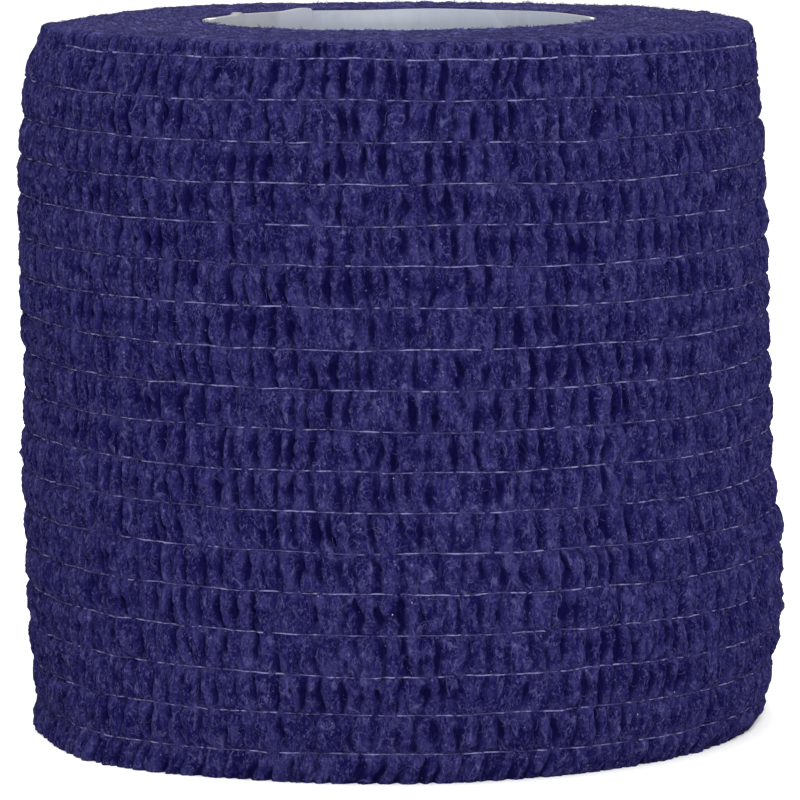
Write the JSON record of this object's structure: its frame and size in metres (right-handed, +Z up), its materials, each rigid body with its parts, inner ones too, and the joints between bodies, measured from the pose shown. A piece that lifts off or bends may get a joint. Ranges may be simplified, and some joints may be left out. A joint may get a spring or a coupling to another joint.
{
  "type": "cohesive bandage roll",
  "caption": "Roll of crinkled self-adherent elastic bandage with fine elastic threads, wound on a thin pale tube and standing on one end.",
  "frame": {"origin": "on the roll's axis, at the middle of its bottom end face", "axes": "+Z up along the roll's axis, from the end it stands on to the end that shows; the front is towards -Y"},
  "size_m": [0.0546, 0.0538, 0.05],
  "materials": {
    "bandage_cloth": "matte",
    "core_card": "matte",
    "elastic_thread": "satin"
  },
  "bodies": {
    "root": {"wound_bandage": "bandage_cloth", "core_tube": "core_card"}
  },
  "joints": []
}
